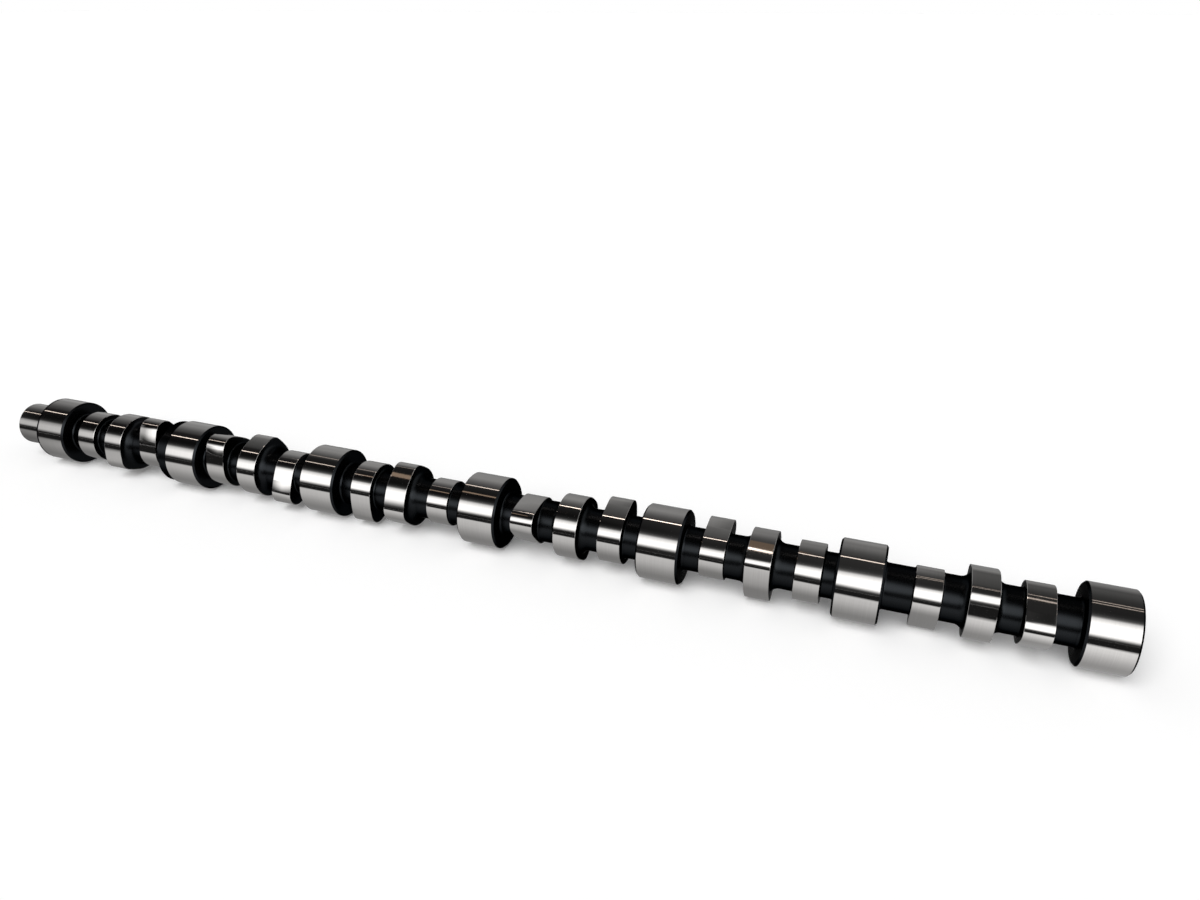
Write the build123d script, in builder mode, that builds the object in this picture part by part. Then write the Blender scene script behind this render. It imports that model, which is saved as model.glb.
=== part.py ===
from build123d import *
import math
import os

os.makedirs("parts", exist_ok=True)

# Camshaft of a heavy in-line six-cylinder diesel with one overhead shaft.
# Lengths are in millimetres and angles in degrees.
# +X runs along the shaft from the gear nose to the rear journal.
# The origin is on the axis, in the shoulder that the gear is pushed against.
# Angles turn about +X, from +Y towards +Z.

# Journals, each a ground band between two chamfered rims
journal_diameter = 63.5
journal_ground_width = 32.5
journal_chamfer = 1.6

# Spacing along the shaft. Three journals and the last cylinder stand a little off the even spacing.
cylinder_pitch = 163.5
first_cylinder_offset = 80.0
last_cylinder_shift = 1.9
second_journal_shift = 6.4
sixth_journal_shift = -5.0
rear_journal_shift = 3.6

# Unground step in front of the second journal
land_length = 10.7

# Shaft between the journals, and the nose that carries the gear
core_diameter = 37.0
nose_diameter = 42.0
nose_length = 38.0
nose_chamfer = 2.0

# Lobes. The brake lobes run down to the core in a wide hollow flare, the others stand straight on it.
lobe_width = 20.3
lobe_spacing = 38.4
flare_length = 6.5
flare_height = 6.0
flare_steps = 3

# Cam outlines. Each hump on a base circle is a nose arc between two wide flank arcs.
intake_base_radius = 24.2
intake_lift = 7.35
intake_nose_radius = 12.8
intake_flank_radius = 81.5

exhaust_base_radius = 20.65
exhaust_lift = 10.7
exhaust_nose_radius = 12.1
exhaust_flank_radius = 97.0

# The engine brake's lobe has two low humps
brake_base_radius = 27.45
release_lift = 3.6
release_nose_radius = 11.6
release_flank_radius = 112.0
refill_lift = 3.2
refill_nose_radius = 12.7
refill_flank_radius = 76.0

# Timing. Valve overlap of cylinder 1 points along lie_angle, as the shaft lies on the bench.
firing_order = (1, 5, 3, 6, 2, 4)
lie_angle = 45.0
exhaust_peak = 52.0
intake_peak = -52.0
release_peak = 164.5
refill_peak = 266.5

# Centre holes that the shaft is ground between
centre_hole_diameter = 6.0
centre_hole_depth = 12.0
centre_cone_diameter = 13.0
centre_cone_angle = 60.0

# Worked out from the sizes above
journal_radius = journal_diameter / 2
land_radius = journal_radius - journal_chamfer
core_radius = core_diameter / 2
nose_radius = nose_diameter / 2
journal_width = journal_ground_width + 2 * journal_chamfer
cylinder_count = len(firing_order)
firing_step = 360.0 / cylinder_count
first_cylinder = journal_width / 2 + first_cylinder_offset
cylinder_centres = [first_cylinder + cylinder_pitch * n for n in range(cylinder_count)]
cylinder_centres[-1] += last_cylinder_shift


def journal_stations():
    """Centre of each journal: one before, between and behind the cylinders."""
    stations = [journal_width / 2]
    stations += [centre + cylinder_pitch / 2 for centre in cylinder_centres]
    stations[1] += second_journal_shift
    stations[5] += sixth_journal_shift
    stations[6] += rear_journal_shift
    return stations


def on_circle(radius, angle):
    """Point of a circle round the shaft axis."""
    return (radius * math.cos(math.radians(angle)), radius * math.sin(math.radians(angle)))


def hump_arcs(base_radius, hump, turn):
    """Draw one hump: flank, nose, flank. Gives the angles where it leaves and meets the base circle."""
    lift, peak, nose_radius, flank_radius = hump
    nose_distance = base_radius + lift - nose_radius
    flank_distance = flank_radius - base_radius
    # Triangle of the shaft axis, the nose centre and a flank centre
    between = flank_radius - nose_radius
    across = between**2 - flank_distance**2 - nose_distance**2
    half_hump = math.degrees(math.acos(across / (2 * flank_distance * nose_distance)))
    rise, along = on_circle(flank_distance, half_hump)[::-1]
    half_nose = math.degrees(math.atan2(rise, nose_distance + along))
    middle = turn + peak
    for side in (-1, 1):
        flank_centre = on_circle(-flank_distance, middle + side * half_hump)
        start = min(side * half_hump, side * half_nose)
        CenterArc(flank_centre, flank_radius, middle + start, half_hump - half_nose)
    CenterArc(on_circle(nose_distance, middle), nose_radius, middle - half_nose, 2 * half_nose)
    return middle - half_hump, middle + half_hump


def cam_outline(base_radius, humps, turn):
    """Humps of one cam and the stretches of base circle between them."""
    ends = [hump_arcs(base_radius, hump, turn) for hump in humps]
    following = ends[1:] + [(ends[0][0] + 360, ends[0][1] + 360)]
    for (_, fall), (rise, _) in zip(ends, following):
        CenterArc((0, 0), base_radius, fall, rise - fall)


def flare_point(face, side, share):
    """Point of the quarter ellipse that runs from the core up to a face of a brake lobe."""
    height = min(flare_height, brake_base_radius - core_radius)
    along = side * flare_length * (1 - math.sin(math.radians(90 * share)))
    up = height * (1 - math.cos(math.radians(90 * share)))
    return (face + along, core_radius + up)


def rings(part, radius, faces):
    """Circular edges of one radius in any of the cross planes at the given places."""
    close = 0.01
    circles = part.edges().filter_by(GeomType.CIRCLE)
    same = [edge for edge in circles if abs(edge.radius - radius) < close]
    return [edge for edge in same if any(abs(edge.arc_center.X - x) < close for x in faces)]


def two_faces(centres, width):
    """Places of the front and rear face of each band of one width."""
    return [centre + side * width / 2 for centre in centres for side in (-1, 1)]


# One hump is (lift, peak angle, nose radius, flank radius)
intake = (intake_lift, intake_peak, intake_nose_radius, intake_flank_radius)
exhaust = (exhaust_lift, exhaust_peak, exhaust_nose_radius, exhaust_flank_radius)
release = (release_lift, release_peak, release_nose_radius, release_flank_radius)
refill = (refill_lift, refill_peak, refill_nose_radius, refill_flank_radius)

# One cam is (base radius, humps)
intake_cam = (intake_base_radius, [intake])
exhaust_cam = (exhaust_base_radius, [exhaust])
brake_cam = (brake_base_radius, [release, refill])

# The order of the lobes turns round halfway along the shaft
front_half = (intake_cam, brake_cam, exhaust_cam)
rear_half = (exhaust_cam, brake_cam, intake_cam)

stations = journal_stations()
rear_end = stations[-1] + journal_width / 2

with BuildPart() as camshaft:
    # Core from the front shoulder to the rear end
    with BuildSketch(Plane.YZ):
        Circle(core_radius)
    extrude(amount=rear_end)

    # Journals
    for station in stations:
        with BuildSketch(Plane.YZ.offset(station - journal_width / 2)):
            Circle(journal_radius)
        extrude(amount=journal_width)
    chamfer(rings(camshaft, journal_radius, two_faces(stations, journal_width)), journal_chamfer)

    # Unground step that the front rim of the second journal runs down to
    land_front = stations[1] - journal_width / 2 - land_length
    with BuildSketch(Plane.YZ.offset(land_front)):
        Circle(land_radius)
    extrude(amount=land_length)
    chamfer(rings(camshaft, land_radius, [land_front]), journal_chamfer)

    # Lobes, three to a cylinder
    for cylinder in range(1, cylinder_count + 1):
        cams = front_half if cylinder <= cylinder_count / 2 else rear_half
        turn = lie_angle - firing_step * firing_order.index(cylinder)
        for place, (base_radius, humps) in enumerate(cams):
            lobe_centre = cylinder_centres[cylinder - 1] + (place - 1) * lobe_spacing
            with BuildSketch(Plane.YZ.offset(lobe_centre - lobe_width / 2)):
                with BuildLine():
                    cam_outline(base_radius, humps, turn)
                make_face()
            extrude(amount=lobe_width)

    # Flares at both feet of each brake lobe, turned round the axis
    for centre in cylinder_centres:
        for side in (-1, 1):
            face = centre + side * lobe_width / 2
            with BuildSketch(Plane.XZ):
                with BuildLine():
                    hollow = [flare_point(face, side, n / flare_steps) for n in range(flare_steps + 1)]
                    Polyline(*hollow, (face, 0), (face + side * flare_length, 0), close=True)
                make_face()
            revolve(axis=Axis.X)

    # Gear nose
    with BuildSketch(Plane.YZ.offset(-nose_length)):
        Circle(nose_radius)
    extrude(amount=nose_length)
    chamfer(rings(camshaft, nose_radius, [-nose_length]), nose_chamfer)

    # Centre hole in each end face
    nose_face = Plane(origin=(-nose_length, 0, 0), z_dir=(-1, 0, 0))
    rear_face = Plane(origin=(rear_end, 0, 0), z_dir=(1, 0, 0))
    with Locations(nose_face, rear_face):
        CounterSinkHole(
            radius=centre_hole_diameter / 2,
            counter_sink_radius=centre_cone_diameter / 2,
            depth=centre_hole_depth,
            counter_sink_angle=centre_cone_angle,
        )

camshaft.part.label = "camshaft"
export_step(camshaft.part, "parts/camshaft.step")
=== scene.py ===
"""Looks of a six-cylinder in-line camshaft: black phosphated steel with ground journals and cam tracks.

The shaft is one closed skin. Each band of the shaft gives its rings, and a node tree turns the rings
round the axis and bends the cam tracks to their outlines. Lengths are in metres, angles in degrees
unless a name says otherwise. Angles turn about +X, from +Y towards +Z, as on the shaft's drawing.
"""

import logging
import math
from dataclasses import dataclass, replace
from enum import Enum, IntEnum
from typing import Any

import bpy
from mathutils import Matrix, Vector


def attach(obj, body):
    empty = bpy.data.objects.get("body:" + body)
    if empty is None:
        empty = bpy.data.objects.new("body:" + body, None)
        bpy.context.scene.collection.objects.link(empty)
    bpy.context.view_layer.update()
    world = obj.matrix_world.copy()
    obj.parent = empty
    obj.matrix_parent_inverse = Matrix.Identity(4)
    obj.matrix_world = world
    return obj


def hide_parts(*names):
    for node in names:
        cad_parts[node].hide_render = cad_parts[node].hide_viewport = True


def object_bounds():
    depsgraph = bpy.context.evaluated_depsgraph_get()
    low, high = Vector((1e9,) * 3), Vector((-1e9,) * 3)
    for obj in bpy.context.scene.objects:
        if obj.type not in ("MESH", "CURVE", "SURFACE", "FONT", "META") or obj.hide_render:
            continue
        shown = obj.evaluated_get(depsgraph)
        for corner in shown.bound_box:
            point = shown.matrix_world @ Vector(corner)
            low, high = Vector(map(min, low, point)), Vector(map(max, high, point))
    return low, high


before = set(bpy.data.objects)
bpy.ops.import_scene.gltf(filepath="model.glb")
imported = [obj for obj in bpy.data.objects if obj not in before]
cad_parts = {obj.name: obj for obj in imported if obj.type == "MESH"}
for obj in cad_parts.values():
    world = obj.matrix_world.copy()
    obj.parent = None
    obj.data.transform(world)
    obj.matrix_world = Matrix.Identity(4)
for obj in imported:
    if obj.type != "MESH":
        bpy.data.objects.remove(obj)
CAD_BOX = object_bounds()

LOG = logging.getLogger("camshaft")
MM = 0.001
FLOOR_HEIGHT = CAD_BOX[0][2]
WHITE = (1.0, 1.0, 1.0, 1.0)

# Shaft between the bands, and the number of stretches in a hollow corner
CORE_RADIUS = 18.5 * MM
CORNER_STEPS = 8

# Sizes of a hump, as the node trees name them
HUMP_SIZES = ("Lift", "Peak", "Nose Radius", "Flank Radius")

Stops = tuple[tuple[float, float], ...]


class Finish(IntEnum):
    """What covers the stretch of skin behind a ring."""

    PHOSPHATE = 0
    GROUND = 1


class Cam(IntEnum):
    """Outline that a ring follows."""

    ROUND = 0
    INTAKE = 1
    EXHAUST = 2
    BRAKE = 3


class Side(Enum):
    """End of a band, as the direction in which its outer face looks."""

    FRONT = -1
    REAR = 1


@dataclass(frozen=True)
class Ring:
    """One ring of the skin.

    On a round ring the height is the radius. On a cam ring it is the depth under the cam track, as a
    number below zero.
    """

    place: float
    height: float
    finish: Finish = Finish.PHOSPHATE
    cam: Cam = Cam.ROUND
    turn: float = 0.0


@dataclass(frozen=True)
class Hump:
    """Rise of a cam over its base circle: a nose arc between two wide flank arcs."""

    name: str
    lift: float
    peak: float
    nose_radius: float
    flank_radius: float

    def inputs(self) -> dict[str, float]:
        """Values for the named inputs of the skin's node tree."""
        sizes = (self.lift, math.radians(self.peak), self.nose_radius, self.flank_radius)
        return {f"{self.name} {name}": size for name, size in zip(HUMP_SIZES, sizes)}


@dataclass(frozen=True)
class CamSet:
    """Outlines of the three cams of a cylinder, with peaks as they stand for valve overlap straight up."""

    intake_base: float = 24.2 * MM
    exhaust_base: float = 20.65 * MM
    brake_base: float = 27.45 * MM
    intake: Hump = Hump("Intake", 7.35 * MM, -52.0, 12.8 * MM, 81.5 * MM)
    exhaust: Hump = Hump("Exhaust", 10.7 * MM, 52.0, 12.1 * MM, 97.0 * MM)
    release: Hump = Hump("Release", 3.6 * MM, 164.5, 11.6 * MM, 112.0 * MM)
    refill: Hump = Hump("Refill", 3.2 * MM, 266.5, 12.7 * MM, 76.0 * MM)

    def inputs(self) -> dict[str, float]:
        """Values for the named inputs of the skin's node tree.

        Returns:
            The base radius of each cam and the sizes of each hump.
        """
        values = {
            "Intake Base Radius": self.intake_base,
            "Exhaust Base Radius": self.exhaust_base,
            "Brake Base Radius": self.brake_base,
        }
        for hump in (self.intake, self.exhaust, self.release, self.refill):
            values.update(hump.inputs())
        return values


def hollow(face: float, side: Side, length: float, height: float) -> list[Ring]:
    """Rings of a hollow corner between the core and a face that stands on it.

    Args:
        face: Place of the face along the shaft.
        side: Which way the face looks.
        length: How far the corner reaches along the shaft.
        height: How far it reaches up the face.

    Returns:
        The rings from the foot of the corner up to the face, at any side in this order.
    """
    rings = []
    for step in range(CORNER_STEPS + 1):
        angle = math.radians(90 * step / CORNER_STEPS)
        along = side.value * length * (1 - math.sin(angle))
        rings.append(Ring(face + along, CORE_RADIUS + height * (1 - math.cos(angle))))
    return rings


@dataclass(frozen=True)
class CentreHole:
    """Hole with a cone at its mouth, in an end face, that the shaft is ground between."""

    radius: float = 3.0 * MM
    depth: float = 12.0 * MM
    cone_radius: float = 6.5 * MM
    cone_angle: float = 60.0

    def rings(self, face: float, side: Side) -> list[Ring]:
        """Rings of the hole.

        Args:
            face: Place of the end face along the shaft.
            side: Which way the end face looks.

        Returns:
            The rings from the bottom of the hole to its mouth, at any side in this order.
        """
        cone_depth = (self.cone_radius - self.radius) / math.tan(math.radians(self.cone_angle / 2))
        bottom = face - side.value * self.depth
        return [
            Ring(bottom, 0.0),
            Ring(bottom, self.radius),
            Ring(face - side.value * cone_depth, self.radius),
            Ring(face, self.cone_radius),
        ]


@dataclass(frozen=True)
class Nose:
    """Ground gear nose in front of the first journal, with the centre hole in its end."""

    radius: float = 21.0 * MM
    length: float = 38.0 * MM
    chamfer: float = 2.0 * MM

    def rings(self) -> list[Ring]:
        """Rings from the bottom of the centre hole to the shoulder of the first journal."""
        end = -self.length
        return [
            *CentreHole().rings(end, Side.FRONT),
            Ring(end, self.radius - self.chamfer),
            Ring(end + self.chamfer, self.radius, Finish.GROUND),
            Ring(0.0, self.radius),
        ]


@dataclass(frozen=True)
class Journal:
    """Bearing band, ground between two black chamfered rims."""

    centre: float
    radius: float = 31.75 * MM
    ground_width: float = 32.5 * MM
    chamfer: float = 1.6 * MM
    corner: float = 2.0 * MM
    # Lower unground step in front of the band
    land_length: float = 0.0
    # Phosphate carried this far onto the band behind the front rim, which draws a dark strip there
    front_margin: float = 0.0
    # Side on which the core doesn't go on
    shaft_end: Side | None = None

    @property
    def half_width(self) -> float:
        """Half of the whole width, chamfers included."""
        return self.ground_width / 2 + self.chamfer

    def foot(self, side: Side) -> list[Ring]:
        """Rings of the hollow corner on one side.

        Args:
            side: Side of the journal.

        Returns:
            The rings from the core up to the face, or none where the shaft ends.
        """
        if side is self.shaft_end:
            return []
        land = self.land_length if side is Side.FRONT else 0.0
        face = self.centre + side.value * (self.half_width + land)
        return hollow(face, side, self.corner, self.corner)

    def rim(self, side: Side) -> list[Ring]:
        """Rings of the chamfer on one side, after those of the land where there is one.

        Args:
            side: Side of the journal.

        Returns:
            The rings from the face up to the band.
        """
        face = self.centre + side.value * self.half_width
        low = self.radius - self.chamfer
        rings = [Ring(face, low), Ring(self.centre + side.value * self.ground_width / 2, self.radius)]
        if side is Side.FRONT and self.land_length:
            front = face - self.land_length
            rings = [Ring(front, low - self.chamfer), Ring(front + self.chamfer, low), *rings]
        return rings

    def rings(self) -> list[Ring]:
        """All rings of the journal.

        Returns:
            The rings from the foot of the front face to the foot of the rear face.
        """
        front = self.foot(Side.FRONT) + self.rim(Side.FRONT)
        rear = self.foot(Side.REAR) + self.rim(Side.REAR)
        if self.front_margin:
            front.append(replace(front[-1], place=front[-1].place + self.front_margin))
        front[-1] = replace(front[-1], finish=Finish.GROUND)
        return front + rear[::-1]


@dataclass(frozen=True)
class Lobe:
    """One cam, with a ground track and black side faces."""

    cam: Cam
    centre: float
    turn: float
    corner_length: float
    corner_height: float
    width: float = 20.3 * MM
    edge: float = 0.4 * MM
    edge_steps: int = 3

    def face(self, side: Side) -> float:
        """Place of one side face along the shaft."""
        return self.centre + side.value * self.width / 2

    def foot(self, side: Side) -> list[Ring]:
        """Rings of the hollow corner on one side, from the core up to the face."""
        return hollow(self.face(side), side, self.corner_length, self.corner_height)

    def rounding(self, side: Side) -> list[Ring]:
        """Rings of the rounded edge on one side.

        Args:
            side: Side of the lobe.

        Returns:
            The rings from the face up to the track.
        """
        rings = []
        for step in range(self.edge_steps + 1):
            angle = math.radians(90 * step / self.edge_steps)
            place = self.face(side) - side.value * self.edge * (1 - math.cos(angle))
            depth = -self.edge * (1 - math.sin(angle))
            rings.append(Ring(place, depth, Finish.GROUND, self.cam, self.turn))
        return rings

    def rings(self) -> list[Ring]:
        """All rings of the lobe.

        Returns:
            The rings from the foot of the front face to the foot of the rear face.
        """
        track = self.rounding(Side.FRONT) + self.rounding(Side.REAR)[::-1]
        # Behind the last ring of the track is the black rear face
        track[-1] = replace(track[-1], finish=Finish.PHOSPHATE)
        return self.foot(Side.FRONT) + track + self.foot(Side.REAR)[::-1]


@dataclass(frozen=True)
class Camshaft:
    """The whole shaft as it lies on the bench, from the gear nose to the rear journal."""

    cams: CamSet = CamSet()
    firing_order: tuple[int, ...] = (1, 5, 3, 6, 2, 4)
    lie_angle: float = 45.0
    cylinder_pitch: float = 163.5 * MM
    first_cylinder_offset: float = 80.0 * MM
    last_cylinder_shift: float = 1.9 * MM
    second_journal_shift: float = 6.4 * MM
    sixth_journal_shift: float = -5.0 * MM
    rear_journal_shift: float = 3.6 * MM
    land_length: float = 10.7 * MM
    front_margin: float = 1.8 * MM
    lobe_spacing: float = 38.4 * MM
    # Length and height of the brake lobes' flares and of the other lobes' corners
    flare: tuple[float, float] = (6.5 * MM, 6.0 * MM)
    lobe_corner: tuple[float, float] = (1.6 * MM, 1.6 * MM)
    points_around: int = 160
    weld_distance: float = 0.002 * MM
    # Steepest bend between two faces that still looks smooth
    smooth_angle: float = 14.0

    def cylinder_centres(self) -> list[float]:
        """Middle of the three lobes of each cylinder.

        Returns:
            The places along the shaft, from the front.
        """
        first = Journal(0.0).half_width + self.first_cylinder_offset
        centres = [first + self.cylinder_pitch * n for n in range(len(self.firing_order))]
        centres[-1] += self.last_cylinder_shift
        return centres

    def journals(self) -> list[Journal]:
        """One journal before, between and behind the cylinders.

        Returns:
            The seven journals, from the front.
        """
        places = [Journal(0.0).half_width]
        places += [centre + self.cylinder_pitch / 2 for centre in self.cylinder_centres()]
        places[1] += self.second_journal_shift
        places[5] += self.sixth_journal_shift
        places[6] += self.rear_journal_shift
        journals = [Journal(place) for place in places]
        journals[0] = replace(journals[0], front_margin=self.front_margin, shaft_end=Side.FRONT)
        journals[1] = replace(journals[1], land_length=self.land_length)
        journals[-1] = replace(journals[-1], shaft_end=Side.REAR)
        return journals

    def lobes(self) -> list[Lobe]:
        """Three lobes for each cylinder.

        Returns:
            The eighteen lobes, in their order along the shaft.
        """
        lobes = []
        step = 360.0 / len(self.firing_order)
        for n, centre in enumerate(self.cylinder_centres()):
            turn = self.lie_angle - step * self.firing_order.index(n + 1)
            order = (Cam.INTAKE, Cam.BRAKE, Cam.EXHAUST)
            # The order turns round halfway along the shaft
            if n >= len(self.firing_order) / 2:
                order = order[::-1]
            for place, cam in zip((-1, 0, 1), order):
                corner = self.flare if cam is Cam.BRAKE else self.lobe_corner
                lobes.append(Lobe(cam, centre + place * self.lobe_spacing, math.radians(turn), *corner))
        return lobes

    def rings(self) -> list[Ring]:
        """Every ring of the skin.

        Returns:
            The rings from the centre hole in the nose to the one in the rear face.
        """
        rings = Nose().rings()
        for band in sorted([*self.journals(), *self.lobes()], key=lambda band: band.centre):
            rings += band.rings()
        return rings + CentreHole().rings(rings[-1].place, Side.REAR)[::-1]

    def profile(self) -> bpy.types.Object:
        """Line of ring points that the node tree turns round the axis.

        Returns:
            An object whose points lie at (place, 0, height) and carry each ring's finish, cam and turn.
        """
        rings = self.rings()
        mesh = bpy.data.meshes.new("camshaft")
        mesh.from_pydata([(ring.place, 0.0, ring.height) for ring in rings], [], [])
        for name in ("finish", "cam", "turn"):
            layer = mesh.attributes.new(name, "FLOAT", "POINT")
            layer.data.foreach_set("value", [float(getattr(ring, name)) for ring in rings])
        profile = bpy.data.objects.new("camshaft", mesh)
        bpy.context.scene.collection.objects.link(profile)
        return profile

    def build(self, phosphate: bpy.types.Material, ground: bpy.types.Material) -> bpy.types.Object:
        """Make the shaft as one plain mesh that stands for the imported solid.

        Args:
            phosphate: Finish of the unground skin.
            ground: Finish of the journals, cam tracks and gear nose.

        Returns:
            The finished piece.
        """
        piece = self.profile()
        modifier = piece.modifiers.new("Skin", "NODES")
        modifier.node_group = ShaftSkin().build()
        values: dict[str, Any] = {
            "Points Around": self.points_around,
            "Weld Distance": self.weld_distance,
            "Phosphate": phosphate,
            "Ground": ground,
            **self.cams.inputs(),
        }
        sockets = {
            item.name: item.identifier
            for item in modifier.node_group.interface.items_tree
            if item.item_type == "SOCKET" and item.in_out == "INPUT"
        }
        for name, value in values.items():
            modifier[sockets[name]] = value
        shown = piece.evaluated_get(bpy.context.evaluated_depsgraph_get())
        skin = bpy.data.meshes.new_from_object(shown)
        piece.modifiers.remove(modifier)
        piece.data = skin
        # The sheet that the skin is bent from starts with an empty slot
        while skin.materials[0] is None:
            skin.materials.pop(index=0)
        skin.set_sharp_from_angle(angle=math.radians(self.smooth_angle))
        return piece


def add_node(tree: bpy.types.NodeTree, kind: str, inputs: dict[Any, Any], **settings: Any) -> bpy.types.Node:
    """Add a node, set it up and connect it.

    Args:
        tree: Tree that gets the node.
        kind: Type of the node.
        inputs: Value or output socket for each input, by name or number.
        **settings: Properties of the node, set before its inputs.

    Returns:
        The new node.
    """
    node = tree.nodes.new(kind)
    for name, value in settings.items():
        setattr(node, name, value)
    for key, value in inputs.items():
        if isinstance(value, bpy.types.NodeSocket):
            tree.links.new(value, node.inputs[key])
        else:
            node.inputs[key].default_value = value
    return node


def calculate(tree: bpy.types.NodeTree, operation: str, *values: Any) -> bpy.types.NodeSocket:
    """Work out one step of a formula in a tree.

    Args:
        tree: Tree that gets the step.
        operation: Name of the math operation.
        *values: Numbers or output sockets.

    Returns:
        The socket that holds the result.
    """
    return add_node(tree, "ShaderNodeMath", dict(enumerate(values)), operation=operation).outputs[0]


def add_sockets(tree: bpy.types.NodeTree, side: str, kind: str, *names: str) -> None:
    """Give a tree named inputs or outputs of one kind."""
    for name in names:
        tree.interface.new_socket(name, in_out=side, socket_type=f"NodeSocket{kind}")


def hump_tree() -> bpy.types.NodeTree:
    """Node tree that gives a cam's radius at an angle, for one hump on its base circle.

    Returns:
        The tree, with an input for the angle and for each size.
    """
    tree = bpy.data.node_groups.new("Cam Hump", "GeometryNodeTree")
    add_sockets(tree, "INPUT", "Float", "Angle", "Base Radius", *HUMP_SIZES)
    add_sockets(tree, "OUTPUT", "Float", "Radius")
    given = tree.nodes.new("NodeGroupInput").outputs
    base, nose, flank = given["Base Radius"], given["Nose Radius"], given["Flank Radius"]

    def step(operation: str, *values: Any) -> bpy.types.NodeSocket:
        """One step of the formula."""
        return calculate(tree, operation, *values)

    def square(value: bpy.types.NodeSocket) -> bpy.types.NodeSocket:
        """A value times itself."""
        return step("MULTIPLY", value, value)

    def choose(test: bpy.types.NodeSocket, otherwise: Any, result: Any) -> bpy.types.NodeSocket:
        """One of two radii, by a test."""
        values = {"Switch": test, "False": otherwise, "True": result}
        return add_node(tree, "GeometryNodeSwitch", values, input_type="FLOAT").outputs[0]

    # Angle away from the peak, the same on both sides
    away = step("ABSOLUTE", step("WRAP", step("SUBTRACT", given["Angle"], given["Peak"]), math.pi, -math.pi))

    # Triangle of the shaft axis, the nose centre and a flank centre
    nose_distance = step("SUBTRACT", step("ADD", base, given["Lift"]), nose)
    flank_distance = step("SUBTRACT", flank, base)
    between = step("SUBTRACT", flank, nose)
    across = step("SUBTRACT", square(between), step("ADD", square(flank_distance), square(nose_distance)))
    sides = step("MULTIPLY", step("MULTIPLY", flank_distance, nose_distance), 2.0)
    half_hump = step("ARCCOSINE", step("DIVIDE", across, sides))
    rise = step("MULTIPLY", flank_distance, step("SINE", half_hump))
    along = step("ADD", nose_distance, step("MULTIPLY", flank_distance, step("COSINE", half_hump)))
    half_nose = step("ARCTAN2", rise, along)

    # Where the nose arc ends, as seen from the shaft axis
    end_rise = step("MULTIPLY", nose, step("SINE", half_nose))
    end_along = step("ADD", nose_distance, step("MULTIPLY", nose, step("COSINE", half_nose)))
    nose_end = step("ARCTAN2", end_rise, end_along)

    # Radius on the nose arc and on the flank arc
    off_nose = step("MULTIPLY", nose_distance, step("SINE", away))
    nose_reach = step("SQRT", step("MAXIMUM", step("SUBTRACT", square(nose), square(off_nose)), 0.0))
    on_nose = step("ADD", step("MULTIPLY", nose_distance, step("COSINE", away)), nose_reach)
    past = step("SUBTRACT", away, half_hump)
    off_flank = step("MULTIPLY", flank_distance, step("SINE", past))
    flank_reach = step("SQRT", step("SUBTRACT", square(flank), square(off_flank)))
    on_flank = step("SUBTRACT", flank_reach, step("MULTIPLY", flank_distance, step("COSINE", past)))

    radius = choose(step("LESS_THAN", away, half_hump), base, on_flank)
    radius = choose(step("LESS_THAN", away, nose_end), radius, on_nose)
    add_node(tree, "NodeGroupOutput", {"Radius": radius})
    return tree


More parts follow.
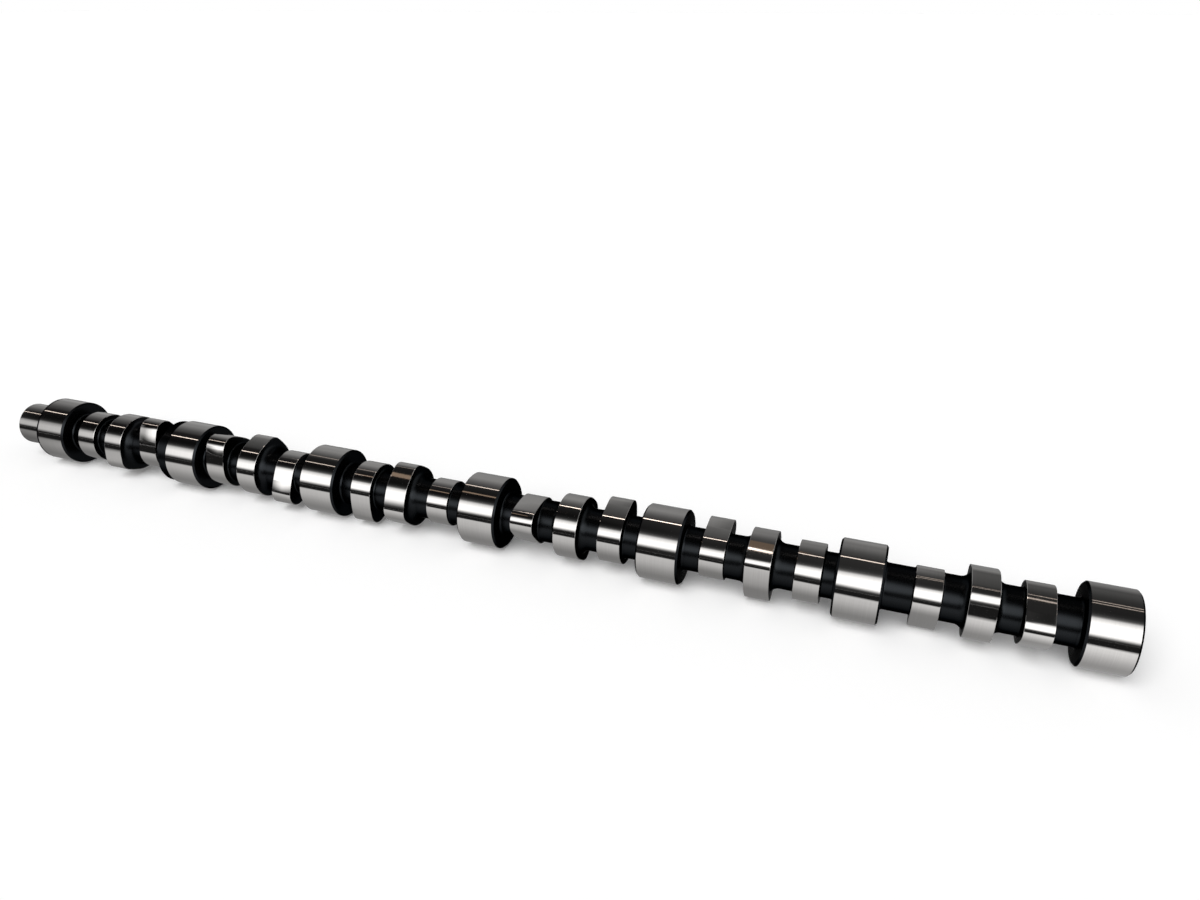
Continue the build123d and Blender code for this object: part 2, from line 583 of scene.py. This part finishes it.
class ShaftSkin:
    """Node tree that turns a line of ring points into the closed skin of the shaft."""

    # The cam on which each hump stands
    cam_of_hump = {"Intake": "Intake", "Exhaust": "Exhaust", "Release": "Brake", "Refill": "Brake"}

    def __init__(self) -> None:
        """Start the tree with its inputs: the ring points, the sizes and the two finishes."""
        self.tree = bpy.data.node_groups.new("Shaft Skin", "GeometryNodeTree")
        bases = [f"{cam} Base Radius" for cam in dict.fromkeys(self.cam_of_hump.values())]
        sizes = [f"{hump} {size}" for hump in self.cam_of_hump for size in HUMP_SIZES]
        add_sockets(self.tree, "INPUT", "Geometry", "Geometry")
        add_sockets(self.tree, "INPUT", "Int", "Points Around")
        add_sockets(self.tree, "INPUT", "Float", "Weld Distance", *bases, *sizes)
        add_sockets(self.tree, "INPUT", "Material", "Phosphate", "Ground")
        add_sockets(self.tree, "OUTPUT", "Geometry", "Geometry")
        self.given = self.tree.nodes.new("NodeGroupInput").outputs

    def result(self, kind: str, inputs: dict[Any, Any], **settings: Any) -> bpy.types.NodeSocket:
        """First output of a new node."""
        return add_node(self.tree, kind, inputs, **settings).outputs[0]

    def step(self, operation: str, *values: Any) -> bpy.types.NodeSocket:
        """One step of a formula."""
        return calculate(self.tree, operation, *values)

    def stored(self, name: str) -> bpy.types.NodeSocket:
        """A named value, as it is stored on the geometry."""
        return self.result("GeometryNodeInputNamedAttribute", {"Name": name}, data_type="FLOAT")

    def of_ring(self, source: bpy.types.NodeSocket, number: Any, kind: str = "FLOAT") -> bpy.types.NodeSocket:
        """A value of one ring of the profile."""
        values = {"Geometry": self.given["Geometry"], "Value": source, "Index": number}
        return self.result("GeometryNodeSampleIndex", values, data_type=kind)

    def sheet(self) -> tuple[bpy.types.NodeSocket, ...]:
        """Sheet with one column of points for each ring, and one row too many to close it.

        Returns:
            The sheet, the number of each point's ring, and the point's angle round the axis.
        """
        count = self.result(
            "GeometryNodeAttributeDomainSize", {0: self.given["Geometry"]}, component="MESH"
        )
        rows = self.step("ADD", self.given["Points Around"], 1.0)
        size = {"Size X": 1.0, "Size Y": 1.0, "Vertices X": count, "Vertices Y": rows}
        grid = self.result("GeometryNodeMeshGrid", size)
        position = self.result("GeometryNodeInputPosition", {})
        place = add_node(self.tree, "ShaderNodeSeparateXYZ", {0: position}).outputs
        # The grid is one wide and one high, round the origin
        across, up = (self.step("ADD", place[axis], 0.5) for axis in ("X", "Y"))
        ring = self.step("ROUND", self.step("MULTIPLY", across, self.step("SUBTRACT", count, 1.0)))
        angle = self.step("MULTIPLY", up, math.tau)
        numbered = {"Geometry": grid, "Name": "ring", "Value": ring}
        return self.result("GeometryNodeStoreNamedAttribute", numbered), ring, angle

    def track_radius(self, cam: bpy.types.NodeSocket, angle: bpy.types.NodeSocket) -> bpy.types.NodeSocket:
        """Radius of a cam track.

        Args:
            cam: Number of the cam.
            angle: Angle round the axis, from valve overlap.

        Returns:
            The socket of the radius, which is nothing on a round ring.
        """
        outline = hump_tree()
        radii = {}
        for hump, name in self.cam_of_hump.items():
            values = {"Angle": angle, "Base Radius": self.given[f"{name} Base Radius"]}
            values.update({size: self.given[f"{hump} {size}"] for size in HUMP_SIZES})
            radii[hump] = self.result("GeometryNodeGroup", values, node_tree=outline)
        tracks = {
            Cam.INTAKE: radii["Intake"],
            Cam.EXHAUST: radii["Exhaust"],
            Cam.BRAKE: self.step("MAXIMUM", radii["Release"], radii["Refill"]),
        }
        switch = add_node(self.tree, "GeometryNodeIndexSwitch", {"Index": cam}, data_type="FLOAT")
        while len(switch.index_switch_items) < len(Cam):
            switch.index_switch_items.new()
        for number, track in tracks.items():
            # The first input takes the index
            self.tree.links.new(track, switch.inputs[int(number) + 1])
        return switch.outputs[0]

    def closed(
        self, sheet: bpy.types.NodeSocket, place: Any, radius: Any, angle: Any
    ) -> bpy.types.NodeSocket:
        """Put each point on its ring, then weld the last row to the first and the poles to one point.

        Args:
            sheet: The flat sheet.
            place: Place of a point along the shaft.
            radius: Distance of the point from the axis.
            angle: Angle of the point round the axis.

        Returns:
            The socket of the closed skin, with smooth shading.
        """
        point = {
            "X": place,
            "Y": self.step("MULTIPLY", radius, self.step("COSINE", angle)),
            "Z": self.step("MULTIPLY", radius, self.step("SINE", angle)),
        }
        spot = self.result("ShaderNodeCombineXYZ", point)
        skin = self.result("GeometryNodeSetPosition", {"Geometry": sheet, "Position": spot})
        weld = {"Geometry": skin, "Distance": self.given["Weld Distance"]}
        skin = self.result("GeometryNodeMergeByDistance", weld)
        return self.result("GeometryNodeSetShadeSmooth", {"Geometry": skin})

    def dressed(self, skin: bpy.types.NodeSocket) -> bpy.types.NodeSocket:
        """Give each stretch of skin the finish of the ring in front of it.

        Args:
            skin: The closed skin.

        Returns:
            The socket of the skin with its materials.
        """
        ground = self.of_ring(self.stored("finish"), self.step("FLOOR", self.stored("ring")))
        skin = self.result("GeometryNodeRealizeInstances", {"Geometry": skin})
        for name, where in (("Phosphate", True), ("Ground", ground)):
            values = {"Geometry": skin, "Selection": where, "Material": self.given[name]}
            skin = self.result("GeometryNodeSetMaterial", values)
        return skin

    def build(self) -> bpy.types.NodeTree:
        """Lay out the tree.

        Returns:
            The finished tree.
        """
        sheet, number, angle = self.sheet()
        position = self.result("GeometryNodeInputPosition", {})
        point = self.of_ring(position, number, "FLOAT_VECTOR")
        ring = add_node(self.tree, "ShaderNodeSeparateXYZ", {0: point}).outputs
        cam_angle = self.step("SUBTRACT", angle, self.of_ring(self.stored("turn"), number))
        track = self.track_radius(self.of_ring(self.stored("cam"), number), cam_angle)
        skin = self.closed(sheet, ring["X"], self.step("ADD", track, ring["Z"]), angle)
        add_node(self.tree, "NodeGroupOutput", {"Geometry": self.dressed(skin)})
        return self.tree


def linear(hex_colour: str) -> tuple[float, float, float, float]:
    """Turn an sRGB hex colour into the linear values that a shader takes.

    Args:
        hex_colour: A colour such as #C3C1BF.

    Returns:
        Red, green, blue and an alpha of one.
    """
    channels = [int(hex_colour[n : n + 2], 16) / 255 for n in (1, 3, 5)]
    values = [c / 12.92 if c <= 0.04045 else ((c + 0.055) / 1.055) ** 2.4 for c in channels]
    return (*values, 1.0)


def new_material(name: str) -> tuple[bpy.types.Material, bpy.types.NodeTree]:
    """Make a material with an empty node tree.

    Args:
        name: Name of the material.

    Returns:
        The material and its tree.
    """
    material = bpy.data.materials.new(name)
    material.use_nodes = True
    material.node_tree.nodes.clear()
    return material, material.node_tree


def object_place(tree: bpy.types.NodeTree) -> bpy.types.NodeSocket:
    """Place of the shaded point in the piece's own frame."""
    return add_node(tree, "ShaderNodeTexCoord", {}).outputs["Object"]


def finish_surface(tree: bpy.types.NodeTree, inputs: dict[str, Any]) -> None:
    """End a material's tree with a metal surface."""
    shader = add_node(tree, "ShaderNodeBsdfPrincipled", {"Metallic": 1.0, **inputs})
    add_node(tree, "ShaderNodeOutputMaterial", {"Surface": shader.outputs[0]})


@dataclass(frozen=True)
class GroundSteel:
    """Induction-hardened steel, ground and lapped on the journals, cam tracks and gear nose."""

    colour: str = "#C3C1BF"
    dull_colour: str = "#B9B7B5"
    # Roughness, and the shares of it in the smoothest and the roughest lines
    roughness: float = 0.065
    smoothest: float = 0.92
    roughest: float = 1.1
    # Reflections are drawn out across the lines
    stretch: float = 0.55
    stretch_turn: float = 0.25
    # Grinding lines are finer than this, and are drawn as coarse as they have to be to show
    line_spacing: float = 0.8 * MM
    line_length: float = 1 / 18
    line_depth: float = 0.05 * MM
    line_strength: float = 0.0015

    def material(self) -> bpy.types.Material:
        """Mirror-like steel whose fine grinding lines run round the shaft.

        Returns:
            The material.
        """
        material, tree = new_material("ground_steel")
        # Lines run round the axis, so the pattern changes fast only along it
        scale = (1 / self.line_spacing, 1 / self.line_length, 1 / self.line_length)
        lines = add_node(tree, "ShaderNodeMapping", {"Vector": object_place(tree), "Scale": scale})
        pattern = {"Vector": lines.outputs[0], "Scale": 1.0, "Detail": 2.0, "Roughness": 0.6}
        grain = add_node(tree, "ShaderNodeTexNoise", pattern).outputs[0]
        low, high = self.roughness * self.smoothest, self.roughness * self.roughest
        spread = add_node(tree, "ShaderNodeMapRange", {"Value": grain, "To Min": low, "To Max": high})
        colours = {"Factor": grain, 6: linear(self.dull_colour), 7: linear(self.colour)}
        shade = add_node(tree, "ShaderNodeMix", colours, data_type="RGBA")
        relief = {"Height": grain, "Strength": self.line_strength, "Distance": self.line_depth}
        bump = add_node(tree, "ShaderNodeBump", relief)
        around = add_node(tree, "ShaderNodeTangent", {}, direction_type="RADIAL", axis="X")
        surface = {
            "Base Color": shade.outputs[2],
            "Roughness": spread.outputs[0],
            "Anisotropic": self.stretch,
            "Anisotropic Rotation": self.stretch_turn,
            "Normal": bump.outputs[0],
            "Tangent": around.outputs[0],
        }
        finish_surface(tree, surface)
        return material


@dataclass(frozen=True)
class BlackPhosphate:
    """Black manganese phosphate, oiled, on everything that isn't ground."""

    colour: str = "#232527"
    edge_tint: str = "#7A7A7A"
    roughness: float = 0.27
    roughness_spread: float = 0.05
    # The crystals are far finer, and are drawn as coarse as they have to be to show
    grain_size: float = 0.6 * MM
    grain_depth: float = 0.02 * MM
    grain_strength: float = 0.15

    def material(self) -> bpy.types.Material:
        """Deep black satin with a fine crystal grain.

        Returns:
            The material.
        """
        material, tree = new_material("black_phosphate")
        pattern = {"Vector": object_place(tree), "Scale": 1 / self.grain_size, "Detail": 3.0}
        grain = add_node(tree, "ShaderNodeTexNoise", pattern).outputs[0]
        relief = {"Height": grain, "Strength": self.grain_strength, "Distance": self.grain_depth}
        bump = add_node(tree, "ShaderNodeBump", relief)
        low, high = self.roughness - self.roughness_spread, self.roughness + self.roughness_spread
        spread = add_node(tree, "ShaderNodeMapRange", {"Value": grain, "To Min": low, "To Max": high})
        surface = {
            "Base Color": linear(self.colour),
            "Roughness": spread.outputs[0],
            "Specular Tint": linear(self.edge_tint),
            "Normal": bump.outputs[0],
        }
        finish_surface(tree, surface)
        return material


def seen(tree: bpy.types.NodeTree) -> bpy.types.NodeSocket:
    """Tell rays that show a thing from rays that gather its light.

    Args:
        tree: Tree that gets the nodes.

    Returns:
        The socket of one for rays of the camera, a mirror or glass, and of nothing for the others.
    """
    rays = add_node(tree, "ShaderNodeLightPath", {}).outputs
    direct = calculate(tree, "MAXIMUM", rays["Is Camera Ray"], rays["Is Glossy Ray"])
    return calculate(tree, "MAXIMUM", direct, rays["Is Transmission Ray"])


def blend(tree: bpy.types.NodeTree, share: Any, first: Any, second: Any) -> bpy.types.NodeSocket:
    """Go over from a first to a second value."""
    return add_node(tree, "ShaderNodeMix", {"Factor": share, 2: first, 3: second}).outputs[0]


def along(tree: bpy.types.NodeTree, value: Any, first: float, last: float) -> bpy.types.NodeSocket:
    """How far a value has come from a first to a last one, as a share."""
    inputs = {"Value": value, "From Min": first, "From Max": last}
    return add_node(tree, "ShaderNodeMapRange", inputs).outputs[0]


def ramp(tree: bpy.types.NodeTree, value: Any, stops: Stops) -> bpy.types.NodeSocket:
    """Read a value off a table of stops.

    Args:
        tree: Tree that gets the nodes.
        value: Socket of the value to look up.
        stops: Pairs of a value and its result, in order.

    Returns:
        The socket of the result.
    """
    first, last = stops[0][0], stops[-1][0]
    table = add_node(tree, "ShaderNodeValToRGB", {"Fac": along(tree, value, first, last)})
    elements = table.color_ramp.elements
    while len(elements) < len(stops):
        elements.new(1.0)
    for element, (place, result) in zip(elements, stops):
        element.position = (place - first) / (last - first)
        element.color = (result, result, result, 1.0)
    return table.outputs[0]


def shine(tree: bpy.types.NodeTree, colour: Any, strength: Any) -> None:
    """Make a material only shine."""
    shader = add_node(tree, "ShaderNodeEmission", {"Color": colour, "Strength": strength})
    add_node(tree, "ShaderNodeOutputMaterial", {"Surface": shader.outputs[0]})


def sheet(corners: list[tuple[float, float, float]]) -> bpy.types.Mesh:
    """Make a flat mesh of one face.

    Args:
        corners: Corners of the face, in order.

    Returns:
        The mesh.
    """
    mesh = bpy.data.meshes.new("sheet")
    mesh.from_pydata(corners, [], [range(len(corners))])
    return mesh


def level_square(half: float, height: float) -> bpy.types.Mesh:
    """Make a level square round the origin."""
    return sheet([(x * half, y * half, height) for x, y in ((-1, -1), (1, -1), (1, 1), (-1, 1))])


def staged(name: str, mesh: bpy.types.Mesh, material: bpy.types.Material) -> bpy.types.Object:
    """Put a stage object in the scene.

    Args:
        name: Name of the object.
        mesh: Its mesh.
        material: Its material.

    Returns:
        The object.
    """
    thing = bpy.data.objects.new(name, mesh)
    bpy.context.scene.collection.objects.link(thing)
    mesh.materials.append(material)
    return thing


def only_mirrored(
    name: str, mesh: bpy.types.Mesh, material: bpy.types.Material, sampling: str = "NONE"
) -> None:
    """Put a stage object in the scene that shows in reflections alone.

    Args:
        name: Name of the object.
        mesh: Its mesh.
        material: Its shining material.
        sampling: Which sides of it the renderer aims rays at.
    """
    thing = staged(name, mesh, material)
    thing.visible_camera = False
    thing.visible_diffuse = False
    thing.visible_transmission = False
    thing.visible_volume_scatter = False
    thing.visible_shadow = False
    material.cycles.emission_sampling = sampling


@dataclass(frozen=True)
class Floor:
    """Matt white paper that the shaft lies on."""

    size: float = 60.0
    colour: str = "#FDFDFD"
    glow: float = 0.05

    def build(self) -> None:
        """Lay the floor at the foot of the shaft."""
        material, tree = new_material("white_paper")
        paper = add_node(tree, "ShaderNodeBsdfDiffuse", {"Color": linear(self.colour)})
        lift = calculate(tree, "MULTIPLY", seen(tree), self.glow)
        glow = add_node(tree, "ShaderNodeEmission", {"Color": WHITE, "Strength": lift})
        both = add_node(tree, "ShaderNodeAddShader", {0: paper.outputs[0], 1: glow.outputs[0]})
        add_node(tree, "ShaderNodeOutputMaterial", {"Surface": both.outputs[0]})
        staged("floor", level_square(self.size / 2, FLOOR_HEIGHT), material)


@dataclass(frozen=True)
class Daylight:
    """Even white light from all round, and a wide soft lamp high in front."""

    sky_light: float = 0.36
    sun_light: float = 0.62
    sun_height: float = 52.0
    sun_heading: float = -12.0
    sun_width: float = 50.0

    def build(self) -> None:
        """Set the sky and the lamp."""
        world = bpy.data.worlds.new("studio")
        bpy.context.scene.world = world
        world.use_nodes = True
        tree = world.node_tree
        background = tree.nodes["Background"]
        background.inputs["Color"].default_value = WHITE
        # The sky looks white, but lights less than it looks
        tree.links.new(blend(tree, seen(tree), self.sky_light, 1.0), background.inputs["Strength"])
        data = bpy.data.lights.new("soft_lamp", "SUN")
        # A sun of strength pi straight above lights white paper to a brightness of one
        data.energy = self.sun_light * math.pi / math.sin(math.radians(self.sun_height))
        data.angle = math.radians(self.sun_width)
        lamp = bpy.data.objects.new("soft_lamp", data)
        lamp.rotation_euler = (math.radians(90 - self.sun_height), 0.0, math.radians(self.sun_heading))
        lamp.visible_glossy = False
        bpy.context.scene.collection.objects.link(lamp)


@dataclass(frozen=True)
class MirroredRoom:
    """Half dome with the bands of the room: pale far wall, dark roof, softbox behind the camera.

    Its tables hold pairs of a place and a brightness, or a share of one. Directions are in degrees round
    the shaft, from the far side over the top. Places are in metres along the shaft.
    """

    radius: float = 6.0
    columns: int = 64
    rows: int = 16
    # The lowest row stands this far under the shaft's level, so that no light comes in under the dome
    dip: float = 2.0
    # Pale far wall and roof, by direction
    wall: Stops = (
        (0, 0.33),
        (13, 0.37),
        (38, 0.39),
        (49, 0.29),
        (57, 0.20),
        (65, 0.13),
        (73, 0.085),
        (82, 0.02),
        (110, 0.005),
    )
    # What is left of the wall's foot and of the rest of it along the shaft, and the directions between
    low_share: Stops = (
        (-4.4, 1.35),
        (-3.6, 1.3),
        (-2.4, 1.08),
        (-1.7, 0.95),
        (-1.0, 0.84),
        (0.4, 0.84),
        (0.8, 0.98),
        (1.5, 0.92),
        (2.2, 0.7),
    )
    wall_share: Stops = (
        (-5.0, 0.72),
        (-4.0, 0.95),
        (-3.0, 1.05),
        (-0.9, 1.03),
        (-0.2, 0.82),
        (0.4, 0.62),
        (1.1, 0.6),
        (1.5, 0.28),
        (4.0, 0.15),
    )
    foot_end: float = 8.0
    wall_start: float = 28.0
    # Walls at the two ends of the shaft, and the little light in the darkest bands
    end_walls: Stops = ((-5.8, 0.5), (-5.0, 0.25), (-4.6, 0.0), (3.0, 0.0), (4.6, 0.6), (5.8, 0.7))
    gloom: Stops = ((-1.2, 0.0), (-0.55, 0.016), (0.83, 0.033), (2.3, 0.02))
    # Direction of the softbox's upper and lower edge along the shaft, and its brightness past each
    softbox_top: Stops = ((-4.44, 131), (-3.94, 132), (-3.3, 129), (0.0, 129), (1.4, 121), (3.0, 118))
    softbox_foot: Stops = ((-3.3, 166), (-2.4, 163.5), (-1.3, 160), (-0.2, 159), (1.3, 166))
    softbox_rise: Stops = ((-14, 0.004), (-6, 0.02), (0, 0.11), (3, 0.4), (6, 1.1), (12, 1.7), (19, 2.2))
    softbox_fall: Stops = ((-4, 1.0), (0, 0.92), (3, 0.62), (6, 0.27), (9, 0.05), (12, 0.005))
    softbox_share: Stops = ((-5.0, 0.28), (-4.44, 0.42), (-3.94, 0.76), (-3.3, 1.0))

    def build(self) -> None:
        """Make the dome and its bands."""
        material, tree = new_material("room_bands")
        place = add_node(tree, "ShaderNodeSeparateXYZ", {0: object_place(tree)}).outputs
        angle = calculate(tree, "DEGREES", calculate(tree, "ARCTAN2", place["Z"], place["Y"]))
        wall = self.wall_light(tree, place["X"], angle)
        softbox = self.softbox_light(tree, place["X"], angle)
        shine(tree, WHITE, calculate(tree, "ADD", wall, softbox))
        only_mirrored("room", self.dome(), material)

    def wall_light(self, tree: bpy.types.NodeTree, place: Any, angle: Any) -> bpy.types.NodeSocket:
        """Brightness of the walls and the roof.

        Args:
            tree: Tree that gets the nodes.
            place: Socket of the place along the shaft.
            angle: Socket of the direction.

        Returns:
            The socket of the brightness.
        """
        high = along(tree, angle, self.foot_end, self.wall_start)
        share = blend(tree, high, ramp(tree, place, self.low_share), ramp(tree, place, self.wall_share))
        wall = calculate(tree, "MULTIPLY", ramp(tree, angle, self.wall), share)
        for table in (self.end_walls, self.gloom):
            wall = calculate(tree, "ADD", wall, ramp(tree, place, table))
        return wall

    def softbox_light(self, tree: bpy.types.NodeTree, place: Any, angle: Any) -> bpy.types.NodeSocket:
        """Brightness of the softbox.

        Args:
            tree: Tree that gets the nodes.
            place: Socket of the place along the shaft.
            angle: Socket of the direction.

        Returns:
            The socket of the brightness.
        """
        light = ramp(tree, place, self.softbox_share)
        for edge, table in ((self.softbox_top, self.softbox_rise), (self.softbox_foot, self.softbox_fall)):
            past = calculate(tree, "SUBTRACT", angle, ramp(tree, place, edge))
            light = calculate(tree, "MULTIPLY", light, ramp(tree, past, table))
        return light

    def dome(self) -> bpy.types.Mesh:
        """Half dome round the origin, open at the foot.

        Returns:
            The mesh, from its lowest row up to the top.
        """
        points = []
        faces = []
        for row in range(self.rows + 1):
            height = math.radians((90 + self.dip) * row / self.rows - self.dip)
            reach, rise = self.radius * math.cos(height), self.radius * math.sin(height)
            for column in range(self.columns):
                turn = math.tau * column / self.columns
                points.append((reach * math.cos(turn), reach * math.sin(turn), rise))
                if row < self.rows:
                    start = row * self.columns + column
                    after = row * self.columns + (column + 1) % self.columns
                    faces.append((start, after, after + self.columns, start + self.columns))
        mesh = bpy.data.meshes.new("dome")
        mesh.from_pydata(points, [], faces)
        return mesh


@dataclass(frozen=True)
class MirroredPaper:
    """Floor as the steel mirrors it: paper in the shaft's shade, dark beyond its curved near edge."""

    half_size: float = 6.0
    # It lies a little over the floor
    lift: float = 0.5 * MM
    # Brightness by the distance in front of the axis: in the shaft's shade, then clear
    paper: Stops = (
        (0.0, 0.27),
        (0.03, 0.36),
        (0.045, 0.53),
        (0.06, 0.70),
        (0.08, 0.84),
        (0.12, 0.92),
        (0.2, 0.96),
    )
    # What is left of it along the shaft
    share: Stops = (
        (-0.2, 0.3),
        (-0.09, 0.45),
        (-0.05, 0.57),
        (0.0, 0.78),
        (0.05, 0.88),
        (0.3, 0.98),
        (0.75, 0.98),
        (0.85, 1.08),
        (1.02, 1.45),
    )
    # Distance of the near edge in front of the axis along the shaft, and where its fade starts and ends
    edge: Stops = (
        (-0.2, 0.12),
        (0.07, 0.15),
        (0.23, 0.185),
        (0.42, 0.225),
        (0.62, 0.225),
        (0.83, 0.165),
        (1.03, 0.14),
    )
    fade_start: float = -0.02
    fade_end: float = 0.03
    dark: float = 0.02
    # From here on the floor is clear of the shaft's shade on the far side
    behind: float = 0.02
    behind_share: float = 1.05

    def build(self) -> None:
        """Make the sheet and its brightness."""
        material, tree = new_material("paper_and_dark")
        place = add_node(tree, "ShaderNodeSeparateXYZ", {0: object_place(tree)}).outputs
        distance = calculate(tree, "MULTIPLY", place["Y"], -1.0)
        past = calculate(tree, "SUBTRACT", distance, ramp(tree, place["X"], self.edge))
        fade = along(tree, past, self.fade_start, self.fade_end)
        share = blend(tree, fade, ramp(tree, place["X"], self.share), self.dark)
        far_side = calculate(tree, "GREATER_THAN", place["Y"], self.behind)
        share = blend(tree, far_side, share, self.behind_share)
        shine(tree, ramp(tree, distance, self.paper), share)
        only_mirrored("mirrored_paper", level_square(self.half_size, FLOOR_HEIGHT + self.lift), material)


class LampColour(Enum):
    """Warm whites of the ceiling lamps."""

    TUBE = "#FFEFE2"
    SHADE = "#FFDEC1"


@dataclass(frozen=True)
class Lamp:
    """One flat lamp, that lies slantwise over the shaft.

    Start and end are places along the shaft. The offset is the lamp's distance behind the axis where it
    passes the front shoulder, or would pass it if it were longer.
    """

    start: float
    end: float
    offset: float
    width: float
    brightness: float
    colour: LampColour = LampColour.TUBE


@dataclass(frozen=True)
class CeilingLamps:
    """Thin warm lamps that draw bright lines along the journals and lobes, and two wide dim ones."""

    height: float = 2.0
    slant: float = -0.24
    lamps: tuple[Lamp, ...] = (
        Lamp(-3.2, -1.9, -0.645, 0.07, 2.9),
        Lamp(-1.9, -1.25, -0.645, 0.07, 3.5),
        Lamp(-1.25, -0.9, -0.645, 0.07, 1.8),
        Lamp(-1.2, -0.5, 0.353, 0.07, 0.7),
        Lamp(-0.5, -0.15, 0.353, 0.07, 2.4),
        Lamp(-0.15, 0.5, 0.353, 0.07, 5.2),
        Lamp(0.5, 0.92, 0.353, 0.08, 2.6),
        Lamp(0.95, 3.0, 0.77, 0.055, 1.0),
        Lamp(0.95, 3.0, 0.53, 0.055, 1.0),
        Lamp(-0.9, -0.25, -0.62, 0.16, 0.42, LampColour.SHADE),
        Lamp(0.42, 0.64, 0.54, 0.26, 0.21, LampColour.SHADE),
    )

    def build(self) -> None:
        """Hang the lamps."""
        for number, lamp in enumerate(self.lamps):
            material, tree = new_material(f"lamp_{number}")
            shine(tree, linear(lamp.colour.value), lamp.brightness)
            corners = [
                (x, lamp.offset + self.slant * x + side * lamp.width / 2, self.height)
                for x, side in ((lamp.start, -1), (lamp.end, -1), (lamp.end, 1), (lamp.start, 1))
            ]
            only_mirrored(f"lamp_{number}", sheet(corners), material, "FRONT_BACK")


@dataclass(frozen=True)
class PhotoCamera:
    """Camera of the photograph, fitted to the rims of all seven journals."""

    place: tuple[float, float, float] = (0.83657, -0.61944, 0.41048)
    right: tuple[float, float, float] = (0.939929, 0.341367, -0.000828)
    up: tuple[float, float, float] = (-0.153016, 0.423485, 0.892886)
    back: tuple[float, float, float] = (0.305152, -0.839124, 0.450281)
    # Focal length and sensor width in millimetres
    lens: float = 26.939
    sensor_width: float = 36.0
    nearest: float = 0.01

    def build(self) -> None:
        """Set the scene's camera."""
        data = bpy.data.cameras.new("photo_camera")
        data.sensor_fit = "HORIZONTAL"
        data.sensor_width = self.sensor_width
        data.lens = self.lens
        data.clip_start = self.nearest
        camera = bpy.data.objects.new("photo_camera", data)
        turn = Matrix((self.right, self.up, self.back)).transposed().to_4x4()
        camera.matrix_world = Matrix.Translation(Vector(self.place)) @ turn
        bpy.context.scene.collection.objects.link(camera)
        bpy.context.scene.camera = camera


def main() -> None:
    """Build the shaft and its studio, and hand the pieces to the frame."""
    logging.basicConfig(level=logging.INFO, format="%(name)s: %(message)s")
    bpy.context.scene.view_settings.view_transform = "Standard"
    shaft = Camshaft().build(BlackPhosphate().material(), GroundSteel().material())
    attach(shaft, "root")
    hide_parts("camshaft")
    LOG.info("camshaft: %d faces, %s", len(shaft.data.polygons), [m.name for m in shaft.data.materials])
    for stage in (PhotoCamera(), Floor(), Daylight(), MirroredRoom(), MirroredPaper(), CeilingLamps()):
        stage.build()


if __name__ == "__main__":
    main()
